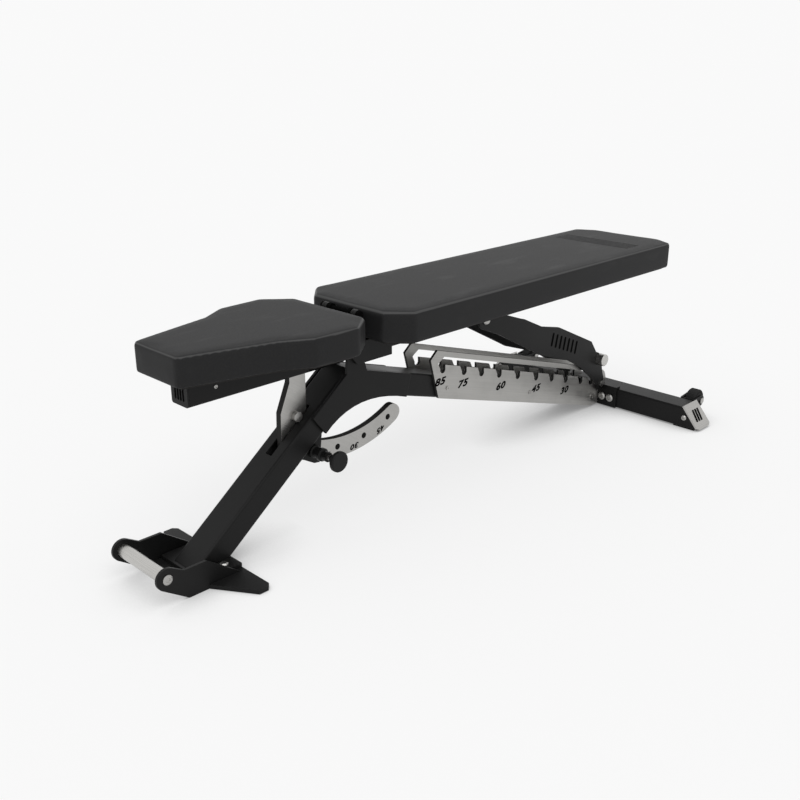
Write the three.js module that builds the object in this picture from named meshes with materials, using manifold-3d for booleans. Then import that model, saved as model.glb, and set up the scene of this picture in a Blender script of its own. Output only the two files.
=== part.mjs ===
// Adjustable weight bench: a three.js scene graph of named meshes, in millimetres.
// +X runs from the seat's nose to the head end, +Y to the left, +Z up.
// The origin lies on the floor, under the middle of the bench.
import * as THREE from "three";
import { mergeVertices } from "three/addons/utils/BufferGeometryUtils.js";
import Module from "manifold-3d";

const wasm = await Module();
wasm.setup();

// ---------------------------------------------------------------- driving dimensions

const GAP = 0.3; // between pieces that touch
const HINGE = { x: -264.5, z: 420.5 }; // shared axle of the seat and the backrest
const AXLE_R = 5;
const BORE_R = 5.3;
const EAR_R = 9;

const PAD_TOP = 434;
const SEAT_PAD_BOTTOM = 379;
const BACK_PAD_BOTTOM = 372;
const PAD_EDGE_R = 9;
const PAD_CORNER_R = 14;
const BOARD_THICK = 6;
const BOARD_INSET = 5;
const SEAT_BOARD_BOTTOM = SEAT_PAD_BOTTOM - BOARD_THICK;
const BACK_BOARD_BOTTOM = BACK_PAD_BOTTOM - BOARD_THICK;

// Half outlines of the two pads: x along the bench, half width.
const SEAT_OUTLINE = [
  [-682.5, 67],
  [-507.5, 111],
  [-451.5, 143],
  [-352, 147.5],
  [-294.5, 102],
];
const BACK_OUTLINE = [
  [-251.5, 99],
  [-207, 146],
  [732.5, 146],
  [760, 98],
];

const TUBE_W = 70; // beam, across the bench
const LEG_W = 67;
const TUBE_D = 50; // leg and beam, deep
const TUBE_WALL = 3;
const TUBE_R = 5;
const PLATE = 6;
const GUSSET_IN = TUBE_W / 2 + GAP;
const GUSSET_OUT = GUSSET_IN + PLATE;

const LEG_TILT = THREE.MathUtils.degToRad(37.7);
const LEG_FACE = { x: -589.5, z: 72.3 }; // a point of the leg's upper face

const NOTCH_FIRST = { x: -12.5, z: 247.5 }; // lock pin axis in the steepest notch
const PIN_REST = { x: 601, z: 65 }; // lock pin axis with the bench flat
const LOCK_PIN_R = 8;
const LADDER_TILT = Math.atan2(NOTCH_FIRST.z - PIN_REST.z, PIN_REST.x - NOTCH_FIRST.x);
const NOTCH_ANGLES = [85, 75.5, 68.5, 61.5, 54, 46, 38.5, 30.5, 20, 10, 0]; // backrest, degrees
const LADDER_TOP = 40; // heights above the line of pin axes, square to the ladder
const WINDOW_TOP = 28;
const TOOTH_TOP = 11;
const BEAM_TOP = -14;
const BEAM_BOTTOM = BEAM_TOP - TUBE_D;

const STRUT_PIVOT = { x: 112.6, z: 336 };
const STRUT_BOLT_R = 5.5;
const STRUT_IN = 50;
const STRUT_OUT = STRUT_IN + PLATE;

const CROSS = { front: 616.5, rear: 681.5, bottom: 3, top: 55, halfTop: 286 };
const MITRE = THREE.MathUtils.degToRad(40);
const CROSS_R = 5;
const CROSS_HALF_LOW = CROSS.halfTop + (CROSS.top - CROSS.bottom) * Math.tan(MITRE);
const SADDLE = { half: 97, thick: 4, bottom: 3, top: 60, lip: 13 };
const SADDLE_FACE = CROSS.front - GAP - SADDLE.thick;

const FOOT_THICK = 8;
const CHEEK_IN = 69;
const CHEEK_OUT = 75;
const HANDLE = { x: -739.5, z: 53, r: 12.5 };

const SECTOR = { inner: 261.5, holes: 281, outer: 303.5, half: 7, holeR: 6.5 };
const SECTOR_LOCK_ANGLE = -110; // degrees, from the axle to the lock pin
const SLOT_HALF = 9;
const WHEEL = { x: 716, y: 265, z: 46, r: 27, width: 28, boreR: 5.1 };

// ---------------------------------------------------------------- materials

function paint(color, roughness = 0.55) {
  return new THREE.MeshStandardMaterial({ color, roughness, metalness: 0.1 });
}
const BLACK_PAINT = paint(0x1b1b1c);
const STAINLESS = new THREE.MeshStandardMaterial({ color: 0xb4b2ae, roughness: 0.35, metalness: 1 });
const VINYL = paint(0x232324, 0.7);
const PLYWOOD = paint(0x1f1e1d, 0.85);
const RUBBER = paint(0x141414, 0.9);
const PLASTIC = paint(0x161616, 0.6);

// ---------------------------------------------------------------- solids

const degrees = THREE.MathUtils.degToRad;

function toSolid(geometry) {
  const bare = geometry.clone();
  bare.deleteAttribute("normal");
  bare.deleteAttribute("uv");
  const merged = mergeVertices(bare, 1e-4);
  return new wasm.Manifold(
    new wasm.Mesh({
      numProp: 3,
      vertProperties: merged.attributes.position.array,
      triVerts: new Uint32Array(merged.index.array),
    }),
  );
}

function toGeometry(solid) {
  const mesh = solid.getMesh();
  const geometry = new THREE.BufferGeometry();
  geometry.setAttribute("position", new THREE.BufferAttribute(new Float32Array(mesh.vertProperties), 3));
  geometry.setIndex(new THREE.BufferAttribute(new Uint32Array(mesh.triVerts), 1));
  geometry.computeVertexNormals();
  return geometry;
}

function cut(geometry, ...tools) {
  return toGeometry(tools.reduce((body, tool) => body.subtract(toSolid(tool)), toSolid(geometry)));
}

function join(...geometries) {
  return toGeometry(geometries.map(toSolid).reduce((body, next) => body.add(next)));
}

function block(x0, x1, y0, y1, z0, z1) {
  const box = new THREE.BoxGeometry(x1 - x0, y1 - y0, z1 - z0);
  return box.translate((x0 + x1) / 2, (y0 + y1) / 2, (z0 + z1) / 2);
}

// A round bar along Y between two y values.
function barY(x, z, radius, y0, y1, segments = 24) {
  const bar = new THREE.CylinderGeometry(radius, radius, Math.abs(y1 - y0), segments);
  return bar.translate(x, (y0 + y1) / 2, z);
}

// A shape drawn as (x, z), made into a plate between two y values.
function plateXZ(shape, y0, y1, curveSegments = 6) {
  const plate = new THREE.ExtrudeGeometry(shape, { depth: y1 - y0, bevelEnabled: false, curveSegments });
  return plate.rotateX(Math.PI / 2).translate(0, y1, 0);
}

// A shape drawn as (x, y), made into a plate between two heights.
function plateXY(shape, z0, z1) {
  const plate = new THREE.ExtrudeGeometry(shape, { depth: z1 - z0, bevelEnabled: false, curveSegments: 6 });
  return plate.translate(0, 0, z0);
}

function polygon(points) {
  return new THREE.Shape(points.map(([x, y]) => new THREE.Vector2(x, y)));
}

function roundedRect(width, height, radius) {
  const shape = new THREE.Shape();
  const w = width / 2 - radius;
  const h = height / 2 - radius;
  const corners = [
    [w, -h, -Math.PI / 2],
    [w, h, 0],
    [-w, h, Math.PI / 2],
    [-w, -h, Math.PI],
  ];
  for (const [x, y, start] of corners) {
    shape.absarc(x, y, radius, start, start + Math.PI / 2, false);
  }
  shape.closePath();
  return shape;
}

// A rectangular tube along +X from x = 0, its section centred on the axis.
function boxTube(width, height, length, wall, radius) {
  const section = roundedRect(width, height, radius);
  section.holes.push(roundedRect(width - 2 * wall, height - 2 * wall, radius - wall / 2));
  const tube = new THREE.ExtrudeGeometry(section, { depth: length, bevelEnabled: false, curveSegments: 3 });
  const basis = new THREE.Matrix4().makeBasis(
    new THREE.Vector3(0, 1, 0),
    new THREE.Vector3(0, 0, 1),
    new THREE.Vector3(1, 0, 0),
  );
  return tube.applyMatrix4(basis);
}

// Turns a geometry about Y so that its +X rises by an angle, and moves it.
function inclined(geometry, rise, x, z) {
  return geometry.rotateY(-rise).translate(x, 0, z);
}

// A bolt along +Y: a domed head above the plane y = 0 and a shank below it.
function bolt(headR, headH, shankR, shankL, segments = 18) {
  const profile = [
    [0, headH],
    [headR * 0.7, headH],
    [headR, headH * 0.55],
    [headR, 0],
    [shankR, 0],
    [shankR, -shankL],
    [0, -shankL],
  ];
  const points = profile.map(([r, y]) => new THREE.Vector2(r, y)).reverse();
  return new THREE.LatheGeometry(points, segments);
}

// A hexagonal socket sunk into a face that looks along +Y at height y.
function hexSocket(headR, depth, y) {
  const radius = headR * 0.5;
  return new THREE.CylinderGeometry(radius, radius, depth + 1, 6).translate(0, y + (1 - depth) / 2, 0);
}

// A bolt as above whose head has a hexagonal socket.
function socketBolt(headR, headH, shankR, shankL, segments) {
  return cut(bolt(headR, headH, shankR, shankL, segments), hexSocket(headR, headH * 0.55, headH));
}

// A bar along Y with a head at each end, turned as one profile of [radius, y] steps.
function turned(steps, segments = 16) {
  return new THREE.LatheGeometry(
    steps.map(([r, y]) => new THREE.Vector2(r, y)),
    segments,
  );
}

function mesh(name, geometry, material) {
  const made = new THREE.Mesh(geometry, material);
  made.name = name;
  return made;
}

const SIDES = [
  ["left", 1],
  ["right", -1],
];

function between(side, inner, outer) {
  return side > 0 ? [inner, outer] : [-outer, -inner];
}

// ---------------------------------------------------------------- lines of the frame

const legSlope = Math.tan(LEG_TILT);
const legTopZ = (x) => LEG_FACE.z + legSlope * (x - LEG_FACE.x);
const legBottomZ = (x) => legTopZ(x) - TUBE_D / Math.cos(LEG_TILT);

// A point of the ladder's own frame: along it from the first notch, and square up from the pin line.
function onLadder(along, up) {
  return [
    NOTCH_FIRST.x + along * Math.cos(LADDER_TILT) + up * Math.sin(LADDER_TILT),
    NOTCH_FIRST.z - along * Math.sin(LADDER_TILT) + up * Math.cos(LADDER_TILT),
  ];
}

function beamZ(up, x) {
  const [px, pz] = onLadder(0, up);
  return pz - Math.tan(LADDER_TILT) * (x - px);
}

// Where the leg's face meets the beam's face of the same side.
function corner(legZ, up) {
  const x0 = -600;
  const x1 = 0;
  const rise0 = legZ(x0) - beamZ(up, x0);
  const rise1 = legZ(x1) - beamZ(up, x1);
  const x = x0 + ((x1 - x0) * rise0) / (rise0 - rise1);
  return [x, legZ(x)];
}
const CORNER_TOP = corner(legTopZ, BEAM_TOP);
const CORNER_LOW = corner(legBottomZ, BEAM_BOTTOM);

// Along the ladder, the pin's place when the backrest stands at an angle: the strut's length holds.
function notchAlong(angle) {
  const swing = degrees(angle);
  const armX = STRUT_PIVOT.x - HINGE.x;
  const armZ = STRUT_PIVOT.z - HINGE.z;
  const pivotX = HINGE.x + armX * Math.cos(swing) - armZ * Math.sin(swing);
  const pivotZ = HINGE.z + armX * Math.sin(swing) + armZ * Math.cos(swing);
  const length = Math.hypot(PIN_REST.x - STRUT_PIVOT.x, PIN_REST.z - STRUT_PIVOT.z);
  const dx = NOTCH_FIRST.x - pivotX;
  const dz = NOTCH_FIRST.z - pivotZ;
  const b = dx * Math.cos(LADDER_TILT) - dz * Math.sin(LADDER_TILT);
  const c = dx * dx + dz * dz - length * length;
  return Math.sqrt(Math.max(b * b - c, 0)) - b;
}

// ---------------------------------------------------------------- front foot

function footPlate() {
  const half = [
    [-580, 145],
    [-588, 154],
    [-607.5, 154],
    [-658.5, CHEEK_OUT],
    [-658.5, CHEEK_IN - GAP],
    [-683, CHEEK_IN - GAP],
  ];
  const mirrored = half.map(([x, y]) => [x, -y]).reverse();
  const outline = polygon([...half, ...mirrored]);
  return mesh("foot_plate", plateXY(outline, 0, FOOT_THICK), BLACK_PAINT);
}

function cheekShape() {
  const shape = new THREE.Shape();
  const endR = 21;
  shape.moveTo(-699.5, 0);
  shape.lineTo(-658.5 - GAP, 0);
  shape.lineTo(-658.5 - GAP, FOOT_THICK + GAP);
  shape.lineTo(-592, FOOT_THICK + GAP);
  shape.lineTo(-660, 57);
  shape.lineTo(-705, 57);
  shape.absarc(HANDLE.x, HANDLE.z, endR, degrees(60), degrees(235), false);
  shape.closePath();
  return shape;
}

function footCheek(name, side) {
  const [y0, y1] = between(side, CHEEK_IN, CHEEK_OUT);
  const hole = barY(HANDLE.x, HANDLE.z, 4.4, y0 - 1, y1 + 1, 16);
  return mesh("foot_cheek_" + name, cut(plateXZ(cheekShape(), y0, y1, 10), hole), BLACK_PAINT);
}

function footHandle() {
  const half = CHEEK_IN - GAP;
  const tube = barY(HANDLE.x, HANDLE.z, HANDLE.r, -half, half, 28);
  const hollow = barY(HANDLE.x, HANDLE.z, HANDLE.r - 3, -half - 1, half + 1, 20);
  return mesh("foot_handle", cut(tube, hollow), STAINLESS);
}

function handleScrew(name, side) {
  const made = mesh("handle_screw_" + name, socketBolt(9.5, 2.4, 4, 14, 16), STAINLESS);
  made.position.set(HANDLE.x, side * (CHEEK_OUT + GAP), HANDLE.z);
  made.rotation.x = side > 0 ? 0 : Math.PI;
  return made;
}

const FLANGE = {
  x0: -668,
  x1: -579.5,
  halfW: 65,
  bottom: FOOT_THICK + GAP,
  top: 16,
  boltX: -608.5,
  boltY: 50,
};

function legFlange() {
  const plate = block(FLANGE.x0, FLANGE.x1, -FLANGE.halfW, FLANGE.halfW, FLANGE.bottom, FLANGE.top);
  return mesh("leg_flange", plate, BLACK_PAINT);
}

function flangeBolt(name, side) {
  const made = mesh("leg_flange_bolt_" + name, bolt(8.5, 6, 4, 0.1, 6), STAINLESS);
  made.position.set(FLANGE.boltX, side * FLANGE.boltY, FLANGE.top + GAP + 0.1);
  made.rotation.x = Math.PI / 2;
  return made;
}

// ---------------------------------------------------------------- leg, beam and gussets

const FAR = 3000; // larger than the bench

// A slab on one side of the line through two (x, z) points, for square and mitred cuts.
function beyond([x0, z0], [x1, z1], clearance) {
  const angle = Math.atan2(z1 - z0, x1 - x0);
  const slab = new THREE.BoxGeometry(FAR, FAR, FAR).translate(0, 0, -FAR / 2 - clearance);
  return slab.rotateY(-angle).translate((x0 + x1) / 2, 0, (z0 + z1) / 2);
}

function legTube() {
  const start = { x: -720, z: legTopZ(-720) };
  const tube = boxTube(LEG_W, TUBE_D, 700, TUBE_WALL, TUBE_R).translate(0, 0, -TUBE_D / 2);
  const leaning = inclined(tube, LEG_TILT, start.x, start.z);
  const floor = block(-FAR, FAR, -FAR, FAR, -FAR, FLANGE.top + GAP);
  const mitre = beyond(CORNER_LOW, CORNER_TOP, -GAP / 2);
  const slot = new THREE.BoxGeometry(125, 2 * SLOT_HALF, 3 * TUBE_D);
  const slotMiddle = { x: -409, z: legTopZ(-409) };
  return mesh(
    "leg_tube",
    cut(leaning, floor, mitre, inclined(slot, LEG_TILT, slotMiddle.x, slotMiddle.z)),
    BLACK_PAINT,
  );
}

function ladderBoltPlaces() {
  return [
    ["front", onLadder(30, -40), 5],
    ["middle", onLadder(345, -38), 5],
    ["rear", [584, 28], 9],
  ];
}

const LADDER_BOLT_R = 4;

function boltHoles(places, radius, halfY) {
  return places.map(([, [x, z]]) => barY(x, z, radius, -halfY, halfY, 12));
}

function beamTube() {
  const [x, z] = onLadder(-330, BEAM_TOP);
  const tube = boxTube(TUBE_W, TUBE_D, 1050, TUBE_WALL, TUBE_R).translate(0, 0, -TUBE_D / 2);
  const leaning = inclined(tube, -LADDER_TILT, x, z);
  const floor = block(-FAR, FAR, -FAR, FAR, -FAR, 3);
  const saddle = block(SADDLE_FACE - GAP, FAR, -FAR, FAR, -FAR, FAR);
  const mitre = beyond(CORNER_TOP, CORNER_LOW, -GAP / 2);
  const holes = boltHoles(ladderBoltPlaces(), LADDER_BOLT_R + GAP, TUBE_W);
  return mesh("beam_tube", cut(leaning, floor, saddle, mitre, ...holes), BLACK_PAINT);
}

function gussetShape() {
  const [endLowX, endLowZ] = onLadder(-97, BEAM_BOTTOM);
  const [endTopX, endTopZ] = onLadder(-97, BEAM_TOP);
  const shape = new THREE.Shape();
  shape.moveTo(-378.5, legTopZ(-378.5));
  shape.lineTo(-347.5, legBottomZ(-347.5));
  shape.quadraticCurveTo(CORNER_LOW[0] + 3, CORNER_LOW[1] + 9, endLowX, endLowZ);
  shape.lineTo(endTopX, endTopZ);
  shape.lineTo(-236, beamZ(BEAM_TOP, -236));
  shape.lineTo(-HINGE_NECK.rear, 350);
  shape.absarc(HINGE.x, HINGE.z, EAR_R, 0, Math.PI, false);
  shape.lineTo(-287, 345);
  shape.lineTo(-290, legTopZ(-290));
  shape.closePath();
  return shape;
}

const HINGE_NECK = { rear: 253, front: 284 };

function gusset(name, side) {
  const [y0, y1] = between(side, GUSSET_IN, GUSSET_OUT);
  const bore = barY(HINGE.x, HINGE.z, BORE_R, y0 - 1, y1 + 1);
  return mesh("gusset_" + name, cut(plateXZ(gussetShape(), y0, y1, 10), bore), BLACK_PAINT);
}

const BRACKET_IN = GUSSET_OUT + 0.7;
const BRACKET_OUT = BRACKET_IN + PLATE;

function hingeAxle() {
  const end = BRACKET_OUT + GAP;
  const profile = [
    [0, -end - 5],
    [8, -end - 5],
    [8, -end],
    [AXLE_R, -end],
    [AXLE_R, end + 6],
    [0, end + 6],
  ];
  const made = mesh("hinge_axle", turned(profile, 18), BLACK_PAINT);
  made.position.set(HINGE.x, 0, HINGE.z);
  return made;
}

function hingeNut() {
  const nut = barY(0, 0, 8.5, 0, 6, 6);
  const made = mesh("hinge_nut", cut(nut, barY(0, 0, BORE_R, -1, 7)), BLACK_PAINT);
  made.position.set(HINGE.x, BRACKET_OUT + GAP, HINGE.z);
  return made;
}

// ---------------------------------------------------------------- ladder

const LADDER_END = { x: 645, z: 60 }; // the plates run out over the cross tube

// One notch, front to rear: its mouth opens up and forward, the tooth behind it hooks over the pin.
function addNotch(shape, along) {
  const bottomR = LOCK_PIN_R + 0.5;
  shape.lineTo(...onLadder(along - 19, TOOTH_TOP));
  for (let turn = 180; turn <= 360; turn += 30) {
    const x = along + bottomR * Math.cos(degrees(turn));
    const up = bottomR * Math.sin(degrees(turn));
    shape.lineTo(...onLadder(x, up));
  }
  shape.lineTo(...onLadder(along + 5, TOOTH_TOP));
}

function windowShape() {
  const stops = NOTCH_ANGLES.map(notchAlong);
  const first = stops[0];
  const last = stops[stops.length - 1];
  const shape = new THREE.Path();
  shape.moveTo(...onLadder(first - 4, WINDOW_TOP));
  shape.lineTo(...onLadder(first - 16, TOOTH_TOP + 4));
  for (const along of stops) {
    addNotch(shape, along);
  }
  shape.lineTo(...onLadder(last + 10, WINDOW_TOP));
  shape.closePath();
  return shape;
}

function ladderShape() {
  const frontX = SADDLE_FACE - GAP;
  const shape = new THREE.Shape();
  const lowAlong = (beamZ(BEAM_BOTTOM, 0) - 4) / Math.sin(LADDER_TILT);
  const lowX = lowAlong * Math.cos(LADDER_TILT);
  shape.moveTo(...onLadder(7, BEAM_BOTTOM));
  shape.lineTo(lowX, 4);
  shape.lineTo(frontX, 4);
  shape.lineTo(frontX, LADDER_END.z);
  shape.lineTo(LADDER_END.x, LADDER_END.z);
  shape.quadraticCurveTo(LADDER_END.x, 94, ...onLadder(640, LADDER_TOP - 4));
  shape.lineTo(...onLadder(622, LADDER_TOP));
  shape.lineTo(...onLadder(-29, LADDER_TOP));
  shape.lineTo(...onLadder(-44, 17));
  shape.closePath();
  shape.holes.push(windowShape());
  return shape;
}

function ladderPlate(name, side) {
  const [y0, y1] = between(side, GUSSET_IN, GUSSET_OUT);
  const holes = boltHoles(ladderBoltPlaces(), LADDER_BOLT_R + GAP, 2 * TUBE_W);
  return mesh("ladder_plate_" + name, cut(plateXZ(ladderShape(), y0, y1), ...holes), STAINLESS);
}

// A through bolt with equal low heads outside the two ladder plates.
function ladderBolt([name, [x, z], headR]) {
  const inner = GUSSET_OUT + GAP;
  const outer = inner + 1.4;
  const profile = [
    [0, -outer],
    [headR, -outer],
    [headR, -inner],
    [LADDER_BOLT_R, -inner],
    [LADDER_BOLT_R, inner],
    [headR, inner],
    [headR, outer],
    [0, outer],
  ];
  const depth = 1;
  const sockets = SIDES.map(([, side]) => hexSocket(headR, depth, outer).rotateX(side > 0 ? 0 : Math.PI));
  const made = mesh("ladder_bolt_" + name, cut(turned(profile, 14), ...sockets), STAINLESS);
  made.position.set(x, 0, z);
  return made;
}

// ---------------------------------------------------------------- rear foot

function rearSaddle() {
  const { half, thick, bottom, top, lip } = SADDLE;
  const front = block(SADDLE_FACE, SADDLE_FACE + thick, -half, half, bottom, top);
  const over = block(SADDLE_FACE, CROSS.front + lip, -half, half, CROSS.top + GAP, top);
  return mesh("rear_saddle", join(front, over), BLACK_PAINT);
}

function saddleBolt(name, side, y) {
  const made = mesh("saddle_bolt_" + name, socketBolt(10.5, 6, 4, 0.1), STAINLESS);
  made.position.set(SADDLE_FACE - GAP - 0.1, side * y, 28);
  made.rotation.z = Math.PI / 2;
  return made;
}

// The region outside the cross tube's slanted end, moved out along its normal.
function endCut(side, clearance) {
  const slab = new THREE.BoxGeometry(FAR, FAR, FAR).translate(0, FAR / 2 + clearance, 0);
  slab.rotateX(MITRE).translate(0, CROSS.halfTop, CROSS.top);
  return side > 0 ? slab : slab.rotateZ(Math.PI);
}

function crossTube() {
  const depth = CROSS.rear - CROSS.front;
  const height = CROSS.top - CROSS.bottom;
  const tube = boxTube(depth, height, 2 * CROSS_HALF_LOW, TUBE_WALL, CROSS_R);
  tube.translate(-CROSS_HALF_LOW, 0, 0).rotateZ(Math.PI / 2);
  tube.translate((CROSS.front + CROSS.rear) / 2, 0, (CROSS.top + CROSS.bottom) / 2);
  return mesh("cross_tube", cut(tube, endCut(1, 0), endCut(-1, 0)), BLACK_PAINT);
}

function endPlate(name, side) {
  const width = CROSS.rear - CROSS.front;
  const slant = (CROSS.top - CROSS.bottom) / Math.cos(MITRE);
  const notch = 9;
  const outline = polygon([
    [-width / 2, 1],
    [-width / 2, 4 - slant],
    [-width / 2 + notch, -slant - 2],
    [width / 2 - notch, -slant - 2],
    [width / 2, 4 - slant],
    [width / 2, 1],
  ]);
  const plate = plateXZ(outline, GAP, GAP + 5).rotateX(MITRE);
  const made = mesh("end_plate_" + name, plate, STAINLESS);
  made.position.set((CROSS.front + CROSS.rear) / 2, side * CROSS.halfTop, CROSS.top);
  made.rotation.z = side > 0 ? 0 : Math.PI;
  return made;
}

function endPlateBolt(name, side) {
  const made = mesh("end_plate_bolt_" + name, socketBolt(7, 5, 4, 0.1, 16), STAINLESS);
  made.position.set(CROSS.front - GAP - 0.1, side * 294, 29);
  made.rotation.z = Math.PI / 2;
  return made;
}

function rubberFoot(name, side) {
  const [y0, y1] = between(side, 264, 321);
  const foot = block(CROSS.front + 4, CROSS.rear - 4, y0, y1, 0, CROSS.bottom - GAP);
  return mesh("rubber_foot_" + name, foot, RUBBER);
}

function wheelBracket(name, side) {
  const x0 = CROSS.rear + GAP;
  const halfWidth = WHEEL.width / 2 + 2;
  const thick = 4;
  const lug = new THREE.Shape();
  lug.moveTo(x0, 20);
  lug.lineTo(WHEEL.x, WHEEL.z - 14);
  lug.absarc(WHEEL.x, WHEEL.z, 14, -Math.PI / 2, Math.PI / 2, false);
  lug.lineTo(x0, 56);
  lug.closePath();
  const inner = WHEEL.y - halfWidth;
  const outer = WHEEL.y + halfWidth;
  const web = block(x0, x0 + thick - 1.5, ...between(side, inner - thick, outer + thick), 20, 56);
  const near = plateXZ(lug, ...between(side, inner - thick, inner), 8);
  const far = plateXZ(lug, ...between(side, outer, outer + thick), 8);
  const bore = barY(WHEEL.x, WHEEL.z, WHEEL.boreR, ...between(side, inner - 9, outer + 9), 16);
  return mesh("wheel_bracket_" + name, cut(join(web, near, far), bore), BLACK_PAINT);
}

function wheelAxle(name, side) {
  const half = WHEEL.width / 2 + 2 + 4 + GAP;
  const profile = [
    [0, -half - 3],
    [8, -half - 3],
    [8, -half],
    [WHEEL.boreR - 0.2, -half],
    [WHEEL.boreR - 0.2, half],
    [8, half],
    [8, half + 3],
    [0, half + 3],
  ];
  const made = mesh("wheel_axle_" + name, turned(profile, 16), STAINLESS);
  made.position.set(WHEEL.x, side * WHEEL.y, WHEEL.z);
  return made;
}

function wheel(name, side) {
  const half = WHEEL.width / 2;
  const profile = [
    [WHEEL.boreR, -half],
    [WHEEL.r - 9, -half],
    [WHEEL.r - 7, -half + 3],
    [WHEEL.r - 3, -half + 1],
    [WHEEL.r, -half + 4],
    [WHEEL.r, half - 4],
    [WHEEL.r - 3, half - 1],
    [WHEEL.r - 7, half - 3],
    [WHEEL.r - 9, half],
    [WHEEL.boreR, half],
    [WHEEL.boreR, -half],
  ];
  const made = mesh("wheel_" + name, turned(profile, 24), RUBBER);
  made.position.set(WHEEL.x, side * WHEEL.y, WHEEL.z);
  return made;
}

// ---------------------------------------------------------------- pads and boards

// The closed outline of a pad, moved in square to each edge.
function padOutline(half, inset) {
  const points = [...half.map(([x, y]) => [x, -y]), ...half.slice().reverse()];
  const edges = points.map(([x0, y0], i) => {
    const [x1, y1] = points[(i + 1) % points.length];
    const length = Math.hypot(x1 - x0, y1 - y0);
    const across = [(y0 - y1) / length, (x1 - x0) / length];
    return { across, reach: across[0] * x0 + across[1] * y0 + inset };
  });
  return edges.map((edge, i) => {
    const before = edges[(i + edges.length - 1) % edges.length];
    const det = before.across[0] * edge.across[1] - before.across[1] * edge.across[0];
    return new THREE.Vector2(
      (before.reach * edge.across[1] - before.across[1] * edge.reach) / det,
      (before.across[0] * edge.reach - before.reach * edge.across[0]) / det,
    );
  });
}

// The outline with its corners cut to arcs of a few chords.
function roundedOutline(points, radius) {
  const shape = new THREE.Shape();
  points.forEach((corner, i) => {
    const before = points[(i + points.length - 1) % points.length].clone().sub(corner).normalize();
    const after = points[(i + 1) % points.length].clone().sub(corner).normalize();
    const turn = Math.PI - before.angleTo(after);
    const reach = radius * Math.tan(turn / 2);
    const start = corner.clone().addScaledVector(before, reach);
    const end = corner.clone().addScaledVector(after, reach);
    if (i === 0) {
      shape.moveTo(start.x, start.y);
    } else {
      shape.lineTo(start.x, start.y);
    }
    shape.quadraticCurveTo(corner.x, corner.y, end.x, end.y);
  });
  shape.closePath();
  return shape;
}

function pad(name, half, bottom) {
  const body = new THREE.ExtrudeGeometry(roundedOutline(padOutline(half, PAD_EDGE_R), PAD_CORNER_R), {
    depth: PAD_TOP - bottom - 2 * PAD_EDGE_R,
    bevelThickness: PAD_EDGE_R,
    bevelSize: PAD_EDGE_R,
    bevelSegments: 3,
    curveSegments: 2,
  });
  return mesh(name, body.translate(0, 0, bottom + PAD_EDGE_R), VINYL);
}

function board(name, half, bottom) {
  const outline = new THREE.Shape(padOutline(half, BOARD_INSET + PAD_EDGE_R));
  return mesh(name, plateXY(outline, bottom + GAP, bottom + BOARD_THICK - GAP), PLYWOOD);
}

// ---------------------------------------------------------------- seat carrier

const SEAT_TUBE = { x0: -636, x1: -317, size: 50 };
const SEAT_TUBE_BOTTOM = SEAT_BOARD_BOTTOM - SEAT_TUBE.size;

function seatTube() {
  const { x0, x1, size } = SEAT_TUBE;
  const tube = boxTube(size, size, x1 - x0, TUBE_WALL, TUBE_R);
  return mesh("seat_tube", tube.translate(x0, 0, SEAT_BOARD_BOTTOM - size / 2), BLACK_PAINT);
}

function seatTubeCap() {
  const face = new THREE.ExtrudeGeometry(roundedRect(SEAT_TUBE.size, SEAT_TUBE.size, TUBE_R), {
    depth: 4 - GAP,
    bevelEnabled: false,
    curveSegments: 3,
  });
  face.rotateY(-Math.PI / 2).rotateX(Math.PI / 2);
  const made = mesh("seat_tube_cap", face, PLASTIC);
  made.position.set(SEAT_TUBE.x0 - GAP, 0, SEAT_BOARD_BOTTOM - SEAT_TUBE.size / 2);
  return made;
}

const SEAT_EAR_IN = SEAT_TUBE.size / 2 + GAP;
const SEAT_EAR_OUT = SEAT_EAR_IN + PLATE;

function seatHingeBracket() {
  const shape = new THREE.Shape();
  shape.moveTo(-372, SEAT_TUBE_BOTTOM + 5);
  shape.lineTo(-290, SEAT_TUBE_BOTTOM + 5);
  shape.lineTo(-HINGE_NECK.rear, 350);
  shape.absarc(HINGE.x, HINGE.z, EAR_R, 0, Math.PI, false);
  shape.lineTo(-HINGE_NECK.front - 6, SEAT_BOARD_BOTTOM - 1);
  shape.lineTo(-372, SEAT_BOARD_BOTTOM - 1);
  shape.closePath();
  const left = plateXZ(shape, SEAT_EAR_IN, SEAT_EAR_OUT, 10);
  const right = plateXZ(shape, -SEAT_EAR_OUT, -SEAT_EAR_IN, 10);
  const webX = SEAT_TUBE.x1 + GAP;
  const webLow = SEAT_TUBE_BOTTOM + 5;
  const web = block(webX, webX + PLATE, -SEAT_EAR_OUT, SEAT_EAR_OUT, webLow, SEAT_BOARD_BOTTOM - 1);
  const bore = barY(HINGE.x, HINGE.z, BORE_R, -TUBE_W, TUBE_W);
  return mesh("seat_hinge_bracket", cut(join(left, right, web), bore), BLACK_PAINT);
}

function onSector(radius, angle) {
  const turn = degrees(angle);
  return [HINGE.x + radius * Math.cos(turn), HINGE.z + radius * Math.sin(turn)];
}

const REST_PIN = { x: -394, r: 10 };
REST_PIN.z = legTopZ(REST_PIN.x) + (REST_PIN.r + 0.7) / Math.cos(LEG_TILT);

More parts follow.
